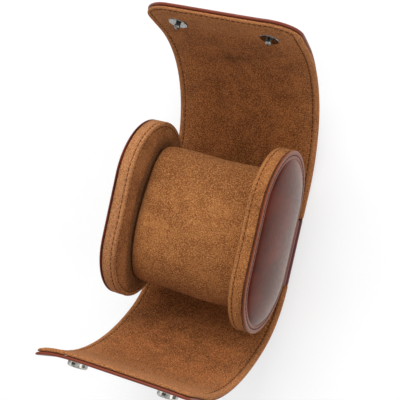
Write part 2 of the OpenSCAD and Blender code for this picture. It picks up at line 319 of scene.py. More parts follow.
# Leather: dark red-brown, polished, with fine grain, and rubbed to a lighter orange-brown along
# its cut and turned edges. Suede: brushed, matt, in mottled browns with a short nap.
def tone(red, green, blue):
    """A colour from 0..255 picture values to linear light."""
    c = np.array([red, green, blue]) / 255.0
    return tuple(np.where(c <= 0.04045, c / 12.92, ((c + 0.055) / 1.055) ** 2.4)) + (1.0,)


class Nodes:
    """Short calls for the nodes of one material."""

    def __init__(self, name):
        self.material = bpy.data.materials.new(name)
        self.material.use_nodes = True
        self.tree = self.material.node_tree
        self.shader = self.tree.nodes["Principled BSDF"]
        self.place = self.tree.nodes.new("ShaderNodeTexCoord").outputs["Object"]

    def link(self, value, socket):
        if isinstance(value, bpy.types.NodeSocket):
            self.tree.links.new(value, socket)
        else:
            socket.default_value = value

    def noise(self, size_mm, detail=2.0, roughness=0.5, distortion=0.0):
        """Noise whose features are size_mm across."""
        node = self.tree.nodes.new("ShaderNodeTexNoise")
        node.inputs["Scale"].default_value = 1.0 / (size_mm * MM)
        node.inputs["Detail"].default_value = detail
        node.inputs["Roughness"].default_value = roughness
        node.inputs["Distortion"].default_value = distortion
        self.tree.links.new(self.place, node.inputs["Vector"])
        return node.outputs["Fac"]

    def cells(self, size_mm):
        """Distance to the nearest of scattered points, size_mm apart."""
        node = self.tree.nodes.new("ShaderNodeTexVoronoi")
        node.inputs["Scale"].default_value = 1.0 / (size_mm * MM)
        self.tree.links.new(self.place, node.inputs["Vector"])
        return node.outputs["Distance"]

    def spread(self, value, low, high, start=0.0, end=1.0):
        """Maps low..high to start..end, held at the ends."""
        node = self.tree.nodes.new("ShaderNodeMapRange")
        self.link(value, node.inputs["Value"])
        for socket, number in zip(("From Min", "From Max", "To Min", "To Max"),
                                  (low, high, start, end)):
            node.inputs[socket].default_value = number
        return node.outputs["Result"]

    def math(self, operation, a, b=0.0):
        node = self.tree.nodes.new("ShaderNodeMath")
        node.operation = operation
        self.link(a, node.inputs[0])
        self.link(b, node.inputs[1])
        return node.outputs[0]

    def vector(self, operation, a, b=None):
        node = self.tree.nodes.new("ShaderNodeVectorMath")
        node.operation = operation
        self.link(a, node.inputs[0])
        if b is not None:
            self.link(b, node.inputs[1])
        return node

    def mix(self, share, a, b):
        node = self.tree.nodes.new("ShaderNodeMix")
        node.data_type = "RGBA"
        self.link(share, node.inputs["Factor"])
        self.link(a, node.inputs[6])
        self.link(b, node.inputs[7])
        return node.outputs[2]

    # Reads the per-point value of rubbing and painted light and shade
    def wear_and_painted_light(self):
        node = self.tree.nodes.new("ShaderNodeAttribute")
        node.attribute_name = "wear_and_painted_light"
        return node.outputs["Fac"]

    def bump(self, height, strength, distance_mm, under=None):
        node = self.tree.nodes.new("ShaderNodeBump")
        node.inputs["Strength"].default_value = strength
        node.inputs["Distance"].default_value = distance_mm * MM
        self.link(height, node.inputs["Height"])
        if under is not None:
            self.tree.links.new(under, node.inputs["Normal"])
        return node.outputs["Normal"]

    def done(self, colour, roughness, normal=None, **plain):
        self.link(colour, self.shader.inputs["Base Color"])
        self.link(roughness, self.shader.inputs["Roughness"])
        if normal is not None:
            self.tree.links.new(normal, self.shader.inputs["Normal"])
        for name, value in plain.items():
            self.shader.inputs[name.replace("_", " ")].default_value = value
        return self.material


NAP_MM = 0.5
# Dark suede for a stroke of nap laid the other way, and for painted shade
DARK_NAP_AND_SHADE = tone(44, 20, 11)


def suede(name, shade, body, light, edge, patch=13.0):
    """Brushed suede: body colour in soft darker clouds patch mm across, speckled with the nap's
    lit fibres and the shade between them. A wear of 1 mixes in the edge colour, for rubbing
    and on some pieces for painted light and shade, and -1 darkens it, for a dark stroke of nap
    and for painted shade."""
    n = Nodes(name)
    clouds = n.noise(patch, 5.0, 0.62, distortion=0.5)
    hands = n.noise(4.5, 3.0, 0.6, distortion=0.8)
    nap = n.noise(NAP_MM, 2.0, 0.7)
    fine = n.noise(NAP_MM / 2, 2.0, 0.7)
    base = n.mix(n.spread(clouds, 0.40, 0.62, 0.7, 0.0), body, shade)
    base = n.mix(n.spread(hands, 0.52, 0.75, 0.0, 0.3), base, light)
    # Mixes in the edge colour: rubbing, and painted light and shade on some pieces
    base = n.mix(n.spread(n.wear_and_painted_light(), 0.0, 1.0, 0.0, 0.6), base, edge)
    speck = n.math("ADD", n.math("MULTIPLY", nap, 0.55), n.math("MULTIPLY", fine, 0.45))
    base = n.mix(n.spread(speck, 0.50, 0.62, 0.0, 0.85), base, light)
    base = n.mix(n.spread(speck, 0.49, 0.38, 0.0, 0.9), base, shade)
    # Darkens for a dark stroke of nap and for painted shade
    base = n.mix(n.spread(n.wear_and_painted_light(), -1.0, 0.0, 0.85, 0.0), base, DARK_NAP_AND_SHADE)
    relief = n.bump(nap, 0.7, 0.4, n.bump(hands, 0.3, 0.8))
    relief = n.bump(fine, 0.5, 0.2, relief)
    return n.done(base, n.spread(speck, 0.3, 0.7, 1.0, 0.9), relief, Sheen_Weight=0.06,
                  Sheen_Roughness=0.6, Sheen_Tint=(1.0, 0.72, 0.45, 1.0), Specular_IOR_Level=0.06)


def leather(name, shade, body, edge, rub_and_highlight=0.75, gloss=0.35, satin=0.0):
    """Polished full-grain leather: fine cell grain, pores, slow colour change, and a share rub
    of the edge colour where the wear is 1, for rubbed edges and on the necks and cap flanges
    for painted highlights. Gloss is its mirror shine and satin its soft one."""
    n = Nodes(name)
    slow = n.noise(16.0, 3.0, 0.55)
    pull = n.noise(2.2, 3.0, 0.6)
    grain = n.cells(0.55)
    pores = n.noise(0.28, 2.0, 0.6)
    base = n.mix(n.spread(slow, 0.35, 0.65), shade, body)
    base = n.mix(n.spread(pull, 0.6, 0.85, 0.0, 0.2), base, edge)
    # The edge colour: rubbing, and painted highlights on the necks and cap flanges
    base = n.mix(n.math("MULTIPLY", n.wear_and_painted_light(), rub_and_highlight), base, edge)
    relief = n.bump(grain, 0.14, 0.05, n.bump(slow, 0.12, 0.7))
    relief = n.bump(pores, 0.12, 0.03, relief)
    return n.done(base, n.spread(pull, 0.3, 0.7, 0.3, 0.44), relief, Specular_IOR_Level=gloss,
                  Specular_Tint=(1.0, 0.82, 0.7, 1.0), Sheen_Weight=satin, Sheen_Roughness=0.4,
                  Sheen_Tint=(1.0, 0.84, 0.74, 1.0))


def thread(name, colour, light):
    """Waxed sewing thread: twisted strands seen as a fine stripe of light and dark."""
    n = Nodes(name)
    twist = n.noise(0.3, 2.0, 0.7)
    return n.done(n.mix(n.spread(twist, 0.4, 0.65), colour, light), 0.9,
                  n.bump(twist, 0.4, 0.1), Specular_IOR_Level=0.05)


# Its edge colour serves the rubbed edges and the painted light towards the lower tip
LINING_SUEDE = suede("lining_suede", tone(80, 38, 16), tone(140, 80, 41), tone(206, 134, 76),
                     tone(176, 122, 82))
WRAP_LEATHER = leather("wrap_leather", tone(62, 19, 10), tone(90, 32, 18), tone(124, 54, 34),
                       rub_and_highlight=0.7)
LINING_THREAD = thread("lining_thread", tone(76, 40, 20), tone(112, 66, 36))
LEATHER_THREAD = thread("leather_thread", tone(44, 16, 13), tone(104, 52, 40))


def seam_shift(s):
    """How much nearer to the edge the seam runs round the upper tip."""
    return 1.3 * smooth((s - S_HIGH + 12.0) / 6.0)


def edge_fall(d):
    """How far the lining's face falls towards its edge, d mm inside it."""
    return 0.62 * np.square(np.clip((2.4 - d) / 2.4, 0.0, 1.0))


def lining_relief(x, s, d):
    """Depth of the lining's own relief: the seam's groove, the edge's fall, puckers across the
    seam, a ledge where the stiffening under the studs ends, slow hollows, and a fold near the
    left edge of the lower flap."""
    groove = 0.46 * hump((d - SEAM_IN + seam_shift(s)) / 0.55) - 0.16 * hump((d - 1.9) / 0.6)
    groove = groove + edge_fall(d)
    pucker = 0.06 * np.sin(2 * np.pi * (s + 0.7 * x) / 4.6) * hump((d - SEAM_IN - 1.2) / 1.6)
    ledge_at = S_HIGH - 33.0 + 0.9 * np.sin(x / 9.0)
    ledge = -0.28 * smooth((s - ledge_at) / 2.2) + 0.22 * hump((s - ledge_at + 0.6) / 1.2)
    ledge *= smooth((d - 2.0) / 4.0)
    swell = 0.14 * np.sin(s / 11.0 + 0.8) * np.sin(x / 12.0 + 0.4) * smooth((d - 3.0) / 8.0)
    ridge = -0.5 * hump((s + 92.0 + 0.25 * x) / 3.0) * hump((x + 24.0) / 12.0)
    return groove + pucker + ledge + swell + ridge * smooth((d - 4.5) / 4.0)


def layer_grid(start, turns):
    """Inset, share, place x and length s of one layer of the wrap, as grids. A column runs from
    the middle of the near face to its edge, round the edge start mm inside the outline, and
    back inside. The share goes from 0 on the near face to 1 on the far one."""
    face = np.concatenate([
        np.linspace(HALF_W, MIDDLE_FROM, 34)[:-1], np.linspace(MIDDLE_FROM, 6.0, 13)[:-1],
        np.linspace(6.0, start + ROLL_R, 15)])
    turned = np.radians(np.linspace(0, 180, turns))[1:-1]
    d = np.concatenate([face, start + ROLL_R * (1 - np.sin(turned) ** 0.6), face[::-1]])
    share = np.concatenate([np.zeros(len(face)), (1 - np.cos(turned)) / 2, np.ones(len(face))])
    x, s = (np.stack(grid) for grid in zip(*(inset(value) for value in d)))
    return d[:, None], share[:, None], x, s


def build_lining():
    """Points, wear and length s of the suede. It is rolled over its edge down to the leather,
    deep at the sides and thin at the tips. It is rubbed pale along its edges and over the stiff
    part under the studs, painted lighter towards the lower tip as light falls there, given a
    dark stroke of nap below the studs, and painted dark under the pillow as shade."""
    d, share, x, s = layer_grid(0.3, 15)
    deep = 2.15 - 0.65 * tip_edge
    depth = share * deep + (1 - share) * (share > 0) * edge_fall(0.3 + ROLL_R)
    x = x - np.sign(x) * neck_notch(s, d)
    depth = depth + warp(x, s) + np.where(share == 0, lining_relief(x, s, d), 0.0)
    points = on_wrap(x + skew(s), s, depth)
    edge = 0.5 * smooth((4.0 - d) / 1.6) + 0.3 * smooth((15.0 - d) / 12.0)
    stiff = smooth((s - S_HIGH + 18.0) / 2.5) * smooth((d - 2.0) / 3.0)
    rolled = smooth((1.9 - d) / 0.8) * (1 - share)
    # Painted light: lighter towards the lower tip, where more light falls
    low_tip_light = smooth((S_LOW + 46.0 - s) / 38.0)
    stroked_nap_and_shade = hump((s - S_HIGH + 39.0 - 0.25 * x) / 4.0) * hump((x + 4.0) / 13.0)
    # Painted shade: darker on the lining under the pillow
    under_pillow_shade = smooth((s - S_LOW - 76.0) / 16.0) * smooth((S_LOW + 140.0 - s) / 20.0)
    under_pillow_shade = under_pillow_shade * smooth((d - 3.0) / 8.0)
    wear_and_painted_light = np.clip(edge + 0.35 * stiff + 0.4 * rolled + low_tip_light, 0.0, 1.0)
    return points, wear_and_painted_light - 0.45 * stroked_nap_and_shade - 0.28 * under_pillow_shade, s


def build_leather():
    """The same for the leather. It stays 0.9 mm behind the lining along the sides, and its
    turned edge is rubbed."""
    d, share, x, s = layer_grid(0.0, 17)
    x = x - np.sign(x) * 0.9 * (1 - tip_edge) * smooth((8.0 - d) / 7.0)
    top = 2.28 - 0.62 * tip_edge * smooth((6.0 - d) / 4.0)
    groove = 0.3 * hump((d - SEAM_IN + seam_shift(s)) / 0.45)
    depth = top + share * (WRAP_T - top) + warp(x, s) - np.where(share == 1, groove, 0.0)
    points = on_wrap(x + skew(s), s, depth)
    return points, smooth((1.6 - d) / 1.4) + 0.0 * s, s


def stitch_shape():
    """One stitch, a slim oval lying along the first axis: rings of six points, closed at its
    ends, in numbers from -length/2 to length/2."""
    along = np.array([-0.5, -0.36, 0.0, 0.36, 0.5]) * STITCH_LENGTH
    size = np.array([0.25, 0.8, 1.0, 0.8, 0.25])
    a = np.radians(np.arange(0, 360, 60))
    ring = np.stack([np.cos(a) * STITCH_WIDTH / 2, np.sin(a) * STITCH_HEIGHT / 2], axis=-1)
    points = np.concatenate([
        np.repeat(along[:, None], 6, axis=1)[..., None],
        size[:, None, None] * ring[None]], axis=-1).reshape(-1, 3)
    sides = ring_quads(5, 6)[:, [0, 3, 2, 1]].tolist()
    return points, sides + [[5, 4, 3, 2, 1, 0], [24, 25, 26, 27, 28, 29]]


def stitches(centre, along, out):
    """Stitches at the given centres: each is turned so that its length lies along the seam
    and its height along the surface's normal."""
    shape, faces = stitch_shape()
    beside = np.cross(out, along)
    points = (centre[:, None, :] + shape[None, :, :1] * along[:, None, :]
              + shape[None, :, 1:2] * beside[:, None, :] + shape[None, :, 2:] * out[:, None, :])
    base = np.arange(len(centre)) * len(shape)
    return {"points": points.reshape(-1, 3), "material": 1,
            "faces": [[i + b for i in f] for b in base.tolist() for f in faces]}


def upright(out, along):
    """The directions out made square to the seam, as unit vectors."""
    out = out - along * (out * along).sum(axis=1, keepdims=True)
    return out / np.linalg.norm(out, axis=1, keepdims=True)


def seam_path(points):
    """Evenly spaced places on a closed line of points: their centres, unit directions and
    distances along it, and the distances of its own points."""
    line = np.concatenate([points, points[:1]])
    step = np.linalg.norm(np.diff(line, axis=0), axis=1)
    at = np.concatenate([[0], np.cumsum(step)])
    count = int(at[-1] // STITCH_PITCH)
    want = (np.arange(count) + 0.5) * at[-1] / count
    centre, ahead, behind = (
        np.stack([np.interp(want + shift, at, line[:, i]) for i in range(3)], axis=-1)
        for shift in (0.0, 0.4, -0.4))
    along = ahead - behind
    return centre, along / np.linalg.norm(along, axis=1, keepdims=True), want, at


def wrap_seam(depth, out_sign):
    """Places, directions and heights of the stitches along the wrap's seam at one depth, with
    the length s of each. An out_sign of 1 is the lining's side, and -1 the leather's."""
    near, far = inset(SEAM_IN - seam_shift(S_HIGH)), inset(SEAM_IN)
    share = seam_shift(outline_s) / seam_shift(S_HIGH)
    x, s = (share * a + (1 - share) * b for a, b in zip(near, far))
    if out_sign > 0:
        x = x - np.sign(x) * neck_notch(s, 4.0)
    line = on_wrap(x + skew(s), s, depth + warp(x, s))
    centre, along, want, at = seam_path(line)
    here_s = np.interp(want, at, np.append(s, s[0]))
    here_x = np.interp(want, at, np.append(x, x[0]))
    level = np.zeros_like(here_s)
    inside = on_wrap(here_x, here_s, level - 1.0) - on_wrap(here_x, here_s, level)
    return centre, along, upright(out_sign * inside, along), here_s


def zone_limits(flap, k):
    """The lengths between which a stitch belongs to a piece of the wrap."""
    cut = [0.0] + CUTS_UP + [S_HIGH] if flap == "upper" else [0.0] + CUTS_LOW + [S_LOW]
    a, b = sorted((cut[k - 1], cut[k]))
    return a - 1e-9, b + (1e-9 if k == FOLDS else 0.0)


def cut_quads(rows):
    """The quads that close a cut through a layer, between the two halves of a grid column."""
    i = np.arange(rows // 2 - 1)
    return np.stack([i, i + 1, rows - 2 - i, rows - 1 - i], axis=-1)


def wrap_pieces(layer_name, built, seam, materials):
    """Cuts one layer of the wrap half way along each segment and closes the cuts."""
    points, wear_and_painted_light, s = built
    normals = ring_normals(points)
    centre, along, out, stitch_s = seam
    for flap, k, below, above in WRAP_ZONES:
        columns = zone_columns(flap, k)
        starts = np.cumsum([0] + [len(points) * len(run) for run in columns])
        faces = [strip_quads(len(points), len(run)) + start for run, start in zip(columns, starts)]
        flat, flat_normals, flat_wear = (
            np.concatenate([grid[:, run].reshape((-1,) + grid.shape[2:]) for run in columns])
            for grid in (points, normals, wear_and_painted_light))
        new, kept, mean, first = weld(flat, np.concatenate(faces), flat_normals)
        parts = [{"points": new, "faces": kept, "normals": mean, "wear_and_painted_light": flat_wear[first]}]
        for column, turned in [(run[end], end == 0) for run in columns for end in (0, -1)]:
            if np.abs(side_s - outline_s[column]).min() < 1e-9:
                quads = cut_quads(len(points))
                parts.append({"points": points[:, column],
                              "faces": (quads[:, ::-1] if turned else quads).tolist()})
        low, high = zone_limits(flap, k)
        mine = (stitch_s >= low) & (stitch_s < high)
        parts.append(stitches(centre[mine], along[mine], out[mine]))
        piece = add_piece(f"{layer_name}_{flap}_{k}", parts, materials)
        nodes = [f"{flap}_{layer_name}_{k}"]
        if layer_name == "lining":
            nodes.append(f"{flap}_foam_{k}")
        if k == 1 and flap == "upper":
            nodes += ["spine_lining", "spine_foam"] if layer_name == "lining" else ["spine_leather"]
        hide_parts(*nodes)
        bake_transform(piece)


wrap_pieces("lining", build_lining(), wrap_seam(0.26, 1.0), [LINING_SUEDE, LINING_THREAD])
wrap_pieces("leather", build_leather(), wrap_seam(WRAP_T - 0.24, -1.0),
            [WRAP_LEATHER, LEATHER_THREAD])


# The pillow's oval, in the middle of the caps: half its length, half its height and its place
PILLOW_A = 32.5
PILLOW_B = 17.0
PILLOW_Y = -2.3
PILLOW_Z = 32.4

# The two end caps are foam boards in suede, with a padded leather face outside. The suede is
# sewn to itself along a rolled edge round the inner face, and the leather face has a flat
# flange with a seam round its padding. A cap is a long oval, 80 mm by 51.6 mm.
CAP_R = 25.8
CAP_HALF_RUN = 14.2
CAP_Z = 34.4
CAP_INNER_X = 26.7
CAP_BACK_X = 32.8
CAP_FACE_X = 34.2
CAP_ROLL_R = 0.8
CAP_SEAM_IN = 2.0
BAND_SEAM_X = 28.5
FLANGE_IN = 3.8
CROWN_H = 3.8

half_turn = np.radians(np.linspace(-90, 90, 82))
straight = np.linspace(CAP_HALF_RUN, -CAP_HALF_RUN, 46)[1:-1]
cap_y = np.concatenate([CAP_HALF_RUN + CAP_R * np.cos(half_turn), straight,
                        -CAP_HALF_RUN - CAP_R * np.cos(half_turn), -straight])
cap_w = np.concatenate([CAP_R * np.sin(half_turn), np.full(len(straight), CAP_R),
                        -CAP_R * np.sin(half_turn), np.full(len(straight), -CAP_R)])
cap_mid_y = np.clip(cap_y, -CAP_HALF_RUN, CAP_HALF_RUN)


def cap_shell(d, x, side):
    """A profile of insets d and places x carried round the oval: each point lies d inside the
    outline, straight towards the oval's middle line."""
    share = 1.0 - np.asarray(d)[:, None] / CAP_R
    y = cap_mid_y + (cap_y - cap_mid_y) * share
    place = side * np.asarray(x)[:, None] + 0.0 * y
    return np.stack([place, y, CAP_Z + cap_w * share], axis=-1)


def closed_shell(points, wear_and_painted_light, flip):
    """One part from a profile carried round a closed path, welded at its middle lines."""
    quads = ring_quads(*points.shape[:2])
    new, faces, _, first = weld(points.reshape(-1, 3), quads[:, ::-1] if flip else quads)
    wear_and_painted_light = np.broadcast_to(wear_and_painted_light, points.shape[:2]).reshape(-1)[first]
    return {"points": new, "faces": faces, "wear_and_painted_light": wear_and_painted_light}


def ring_seam(d, x, side, out_x, out_side):
    """Stitches round a cap at inset d and place x. Their height points along X by out_x and
    away from the oval by out_side."""
    centre, along, _, _ = seam_path(cap_shell([d], [x], side)[0])
    middle = np.stack([centre[:, 0], np.clip(centre[:, 1], -CAP_HALF_RUN, CAP_HALF_RUN),
                       np.full(len(centre), CAP_Z)], axis=-1)
    away = centre - middle
    away /= np.linalg.norm(away, axis=1, keepdims=True)
    out = out_x * np.array([side, 0.0, 0.0]) + out_side * away
    return stitches(centre, along, upright(out, along))


# The left cap's suede is a little lighter than the right one's, with a much paler, pinker
# edge colour that its side band is painted with: painted light from the left.
CAP_SUEDES = {
    "left": suede("left_cap_suede", tone(100, 54, 26), tone(156, 99, 56), tone(204, 142, 90),
                  tone(196, 142, 102)),
    "right": suede("right_cap_suede", tone(100, 54, 26), tone(154, 98, 54), tone(200, 138, 84),
                   tone(172, 116, 68))}
BAND_PAINTED_LIGHT = {"left": 0.75, "right": 0.0}
BAND_SHADE = {"left": 0.4, "right": 0.1}
CAP_LEATHER = leather("cap_leather", tone(60, 16, 7), tone(90, 29, 13), tone(150, 80, 42),
                      rub_and_highlight=0.65, gloss=0.12, satin=0.35)

for side, name in ((-1.0, "left"), (1.0, "right")):
    # Suede body: inner face, seam, rolled edge, side band with its seam, and the groove
    # under the leather face.
    roll = np.radians(np.linspace(0, 90, 9))[1:]
    band = np.linspace(27.55, 32.55, 34)
    inner_d = np.concatenate([np.linspace(CAP_R, 4.0, 30), np.linspace(3.7, 0.95, 16)])
    d = np.concatenate([
        inner_d, CAP_ROLL_R * (1 - np.sin(roll)), np.zeros(len(band)), [0.12, 0.5, 0.8],
        np.linspace(1.2, CAP_R, 8)])
    x = np.concatenate([
        np.full(len(inner_d), CAP_INNER_X), CAP_INNER_X + CAP_ROLL_R * (1 - np.cos(roll)),
        band, [32.7], np.full(10, CAP_BACK_X)])
    row = np.arange(len(d))
    inner = row < len(inner_d)
    band_from = len(inner_d) + len(roll)
    on_band = (row >= band_from) & (row < band_from + len(band))
    x = x + np.where(inner, 0.3 * hump((d - CAP_SEAM_IN) / 0.42)
                     - 0.12 * hump((d - 0.9) / 0.7), 0.0)
    d = d + np.where(on_band, 0.4 * hump((x - BAND_SEAM_X) / 0.4) - 0.05 * hump((x - 27.6) / 0.6)
                     + 0.10 * hump((x - 32.6) / 0.5), 0.0)
    shell = cap_shell(d, x, side)
    # Rubbed along the rolled edge, given painted shade where the band turns under the leather,
    # and painted dark as shade in the narrow gap at the pillow's end: 1 on the pillow's outline,
    # less inside it and 0 well outside
    rubbed = np.where(inner, smooth((2.2 - d) / 1.0), 0.0) + hump((x - 27.4) / 0.8) * (~inner)
    # The left side band's painted light
    rubbed = np.clip(np.maximum(0.6 * rubbed, BAND_PAINTED_LIGHT[name] * on_band), 0, 1)
    shaded = BAND_SHADE[name] * smooth((x - 31.2) / 1.4) * on_band
    oval = np.hypot((shell[..., 1] - PILLOW_Y) / PILLOW_A, (shell[..., 2] - PILLOW_Z) / PILLOW_B)
    # Painted shade of the gap between the cap's inner face and the pillow's end
    pillow_gap_shade = 0.6 * smooth((1.17 - oval) / 0.17) * (0.15 + 0.85 * smooth((oval - 0.66) / 0.24))
    parts = [closed_shell(shell, (rubbed - shaded)[:, None] - pillow_gap_shade * inner[:, None], side > 0),
             ring_seam(CAP_SEAM_IN, CAP_INNER_X + 0.22, side, -1.0, 0.0),
             ring_seam(0.3, BAND_SEAM_X, side, 0.0, 1.0)]
    body = add_piece(f"{name}_cap_suede", parts, [CAP_SUEDES[name], LINING_THREAD])
    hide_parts(f"{name}_cap_lining", f"{name}_cap_band", f"{name}_cap_core")
    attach(body, f"{name}_cap")

    # Leather face: cut edge, flange with its seam, a pressed groove and the padded crown.
    fan = np.radians(np.linspace(0, 90, 30))
    edge = np.radians(np.linspace(-90, 90, 13))
    flange_d = np.linspace(0.7, FLANGE_IN - 0.2, 16)
    d = np.concatenate([
        np.linspace(CAP_R, 1.0, 8), 0.5 - 0.5 * np.cos(edge), flange_d,
        CAP_R - (CAP_R - FLANGE_IN) * np.cos(fan)])
    x = np.concatenate([
        np.full(8, 33.1), 33.65 + 0.55 * np.sin(edge), np.full(len(flange_d), CAP_FACE_X),
        CAP_FACE_X + CROWN_H * np.sin(fan) ** 1.5])
    row = np.arange(len(d))
    crown = row >= len(d) - len(fan)
    flange = (row >= 8 + len(edge)) & ~crown
    seam_groove = 0.22 * hump((d - CAP_SEAM_IN) / 0.35)
    crown_groove = 0.25 * hump((d - FLANGE_IN) / 0.5)
    x = x - np.where(flange, seam_groove + crown_groove, 0.0) - np.where(crown, crown_groove, 0.0)
    # The cut edge and the flange are rubbed paler, which also stands in for a painted highlight
    # along them
    rub_and_highlight = np.maximum(hump((x - 34.0) / 0.22) * smooth((1.0 - d) / 0.5), 0.45 * flange)
    parts = [closed_shell(cap_shell(d, x, side), rub_and_highlight[:, None], side > 0),
             ring_seam(CAP_SEAM_IN, CAP_FACE_X - 0.12, side, 1.0, 0.0)]
    face = add_piece(f"{name}_cap_leather", parts, [CAP_LEATHER, LEATHER_THREAD])
    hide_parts(f"{name}_cap_face", f"{name}_cap_pad")
    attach(face, f"{name}_cap")


# Each neck is one strip of the wrap's leather that comes out beside the lining, folds up in a
# soft crease and is sewn under the flange of the cap. It is the cap's hinge.
NECK_T = 0.9
NECK_REACH = 15.0
# Its edge colour also paints the highlights along the strip's two creases
NECK_LEATHER = leather("neck_leather", tone(56, 13, 11), tone(84, 24, 20), tone(150, 82, 68),
                       gloss=0.2)
for side, name in ((-1.0, "left"), (1.0, "right")):
    # The strip's outer line, from under the lining up to the cap, drawn smooth
    x = np.array([30.8, 32.6, 33.9, 34.5, 34.55, 34.3, 33.9, 33.75, 33.95, 34.35, 34.5, 34.3,
                  33.95, 33.9])
    z = np.array([1.75, 1.75, 1.95, 2.7, 3.6, 4.5, 5.2, 5.8, 6.4, 7.2, 8.1, 9.0, 10.0, 12.0])
    t = np.linspace(0, len(x) - 1, 60)
    x, z = np.interp(t, np.arange(len(x)), x), np.interp(t, np.arange(len(z)), z)
    for _ in range(6):
        x[1:-1] = (x[:-2] + 2 * x[1:-1] + x[2:]) / 4
        z[1:-1] = (z[:-2] + 2 * z[1:-1] + z[2:]) / 4
    tangent = np.stack([np.gradient(x), np.gradient(z)], axis=-1)
    tangent /= np.linalg.norm(tangent, axis=1, keepdims=True)
    inner_x, inner_z = x - NECK_T * tangent[:, 1], z + NECK_T * tangent[:, 0]
    # The loop of both faces, carried along Y and drawn in round both ends
    loop_x = np.concatenate([x, inner_x[::-1]])
    loop_z = np.concatenate([z, inner_z[::-1]])
    middle_x = np.concatenate([(x + inner_x) / 2, ((x + inner_x) / 2)[::-1]])
    middle_z = np.concatenate([(z + inner_z) / 2, ((z + inner_z) / 2)[::-1]])
    end_reach, end_size = np.array([0.97, 0.99, 0.998, 1.0]), np.array([0.98, 0.9, 0.75, 0.55])
    reach = np.concatenate([-end_reach[::-1], np.linspace(-0.93, 0.93, 40), end_reach])
    size = np.concatenate([end_size[::-1], np.ones(40), end_size])[:, None]
    px = middle_x + (loop_x - middle_x) * size
    pz = middle_z + (loop_z - middle_z) * size
    py = NECK_MID + reach[:, None] * NECK_REACH + 0.0 * px
    points = np.stack([side * px, py, pz], axis=-1)
    rows, columns = points.shape[:2]
    half = np.arange(columns // 2 - 1)
    end = np.stack([half, columns - 1 - half, columns - 2 - half, half + 1], axis=-1)
    quads = np.concatenate([ring_quads(rows, columns)[:, [0, 3, 2, 1]],
                            end, end[:, ::-1] + (rows - 1) * columns])
    if side > 0:
        quads = quads[:, ::-1]
    # Painted highlights where the strip rolls round its two creases
    crease_highlights = 0.5 * (hump((z - 3.4) / 0.5) + hump((z - 8.2) / 0.6))
    wear_and_painted_light = np.tile(np.concatenate([crease_highlights, np.zeros(len(z))]), rows)
    parts = [{"points": points.reshape(-1, 3), "faces": quads.tolist(), "wear_and_painted_light": wear_and_painted_light}]
    neck = add_piece(f"{name}_neck", parts, [NECK_LEATHER])
    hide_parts(f"{name}_neck_base", f"{name}_neck_tab")
    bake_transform(neck)


# The pillow is a soft oval drum of foam in suede that the watch is strapped round. It swells
# in the middle, and its round ends are sewn in. It sits between the caps and lifts out.
PILLOW_HALF = 25.6
DRAW_IN = 2.3
END_BULGE = 0.35
COVER_GAP = 0.3
LOW_FLAT = 2.2

end_t = np.linspace(0.9, 1, 14)[1:]
t = np.concatenate([-end_t[::-1], np.linspace(-0.9, 0.9, 90), end_t])
drawn = DRAW_IN * (1 - np.sqrt(np.maximum(0, 1 - np.abs(t) ** 10)))
inwards = np.linspace(0.97, 0.0, 14)
end_x = PILLOW_HALF - END_BULGE * (1 - inwards ** 2)
ring_x = np.concatenate([-end_x[::-1], t * PILLOW_HALF, end_x])
ring_in = np.concatenate([np.full(14, DRAW_IN), drawn, np.full(14, DRAW_IN)])
ring_k = np.concatenate([inwards[::-1], np.ones(len(t)), inwards])
a = np.radians(np.linspace(0, 360, 241)[:-1])
swell = 0.45 * np.sin(3 * a + 0.6)[None, :] * np.sin(ring_x / 9.0 + 1.0)[:, None]
swell += 0.3 * np.sin(5 * a + 2.0)[None, :] * np.sin(ring_x / 6.5)[:, None]
swell = swell * ring_k[:, None]
low = np.maximum(0.0, -np.sin(a))[None, :]
reach_y = PILLOW_A - ring_in[:, None] - COVER_GAP + swell - LOW_FLAT * low
reach_z = PILLOW_B - ring_in[:, None] - COVER_GAP + swell
points = np.stack([
    ring_x[:, None] * (1 + 0.02 * low),
    PILLOW_Y + reach_y * np.sin(a)[None, :] * ring_k[:, None],
    PILLOW_Z + reach_z * np.cos(a)[None, :] * ring_k[:, None]], axis=-1)
# Painted shade: the suede is darker round the rims, where the oval turns away from the light,
# and a little darker towards both ends
stroked_nap_and_shade = smooth((np.abs(np.sin(a) + 0.12) - 0.35) / 0.5)[None, :]
stroked_nap_and_shade = stroked_nap_and_shade + 0.25 * np.abs(ring_x / PILLOW_HALF)[:, None] ** 4
# Its edge colour is the painted shade of the rims and ends
PILLOW_SUEDE = suede("pillow_suede", tone(106, 58, 28), tone(162, 104, 57), tone(208, 146, 90),
                     tone(104, 58, 28), patch=16.0)
pillow = add_piece("pillow", [closed_shell(points, np.clip(stroked_nap_and_shade, 0, 1), True)], [PILLOW_SUEDE])
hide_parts("pillow_cover", "pillow_foam", "pillow_end_left", "pillow_end_right")
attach(pillow, "pillow")


# Two ball snaps hold the flaps shut: studs on the upper flap's lining, and sockets with
# windows and spring wires under the lower flap's tip. They are stamped and plated metal.
def plate(name, dark, light, rough, shade_at=(), shade_r=3.3):
    """Plated steel: bright, with dull spots, and painted near-black as shade within shade_r mm
    of the given lines, each a place and a direction."""
    n = Nodes(name)
    spots = n.noise(1.1, 3.0, 0.6)
    base = n.mix(n.spread(spots, 0.35, 0.65), dark, light)
    for centre, axis in shade_at:
        offset = n.vector("SUBTRACT", n.place, centre)
        beside = n.vector("CROSS_PRODUCT", offset.outputs["Vector"], axis)
        distance = n.vector("LENGTH", beside.outputs["Vector"]).outputs["Value"]
        inside = n.spread(distance, (shade_r - 0.25) * MM, shade_r * MM, 0.92, 0.0)
        # Painted shade in the socket's hollow
        base = n.mix(inside, base, tone(28, 26, 24))
    return n.done(base, n.spread(spots, 0.3, 0.7, rough, rough + 0.16),
                  n.bump(spots, 0.1, 0.05), Metallic=1.0)


STUD_METAL = plate("stud_metal", tone(84, 84, 82), tone(158, 158, 154), 0.12)
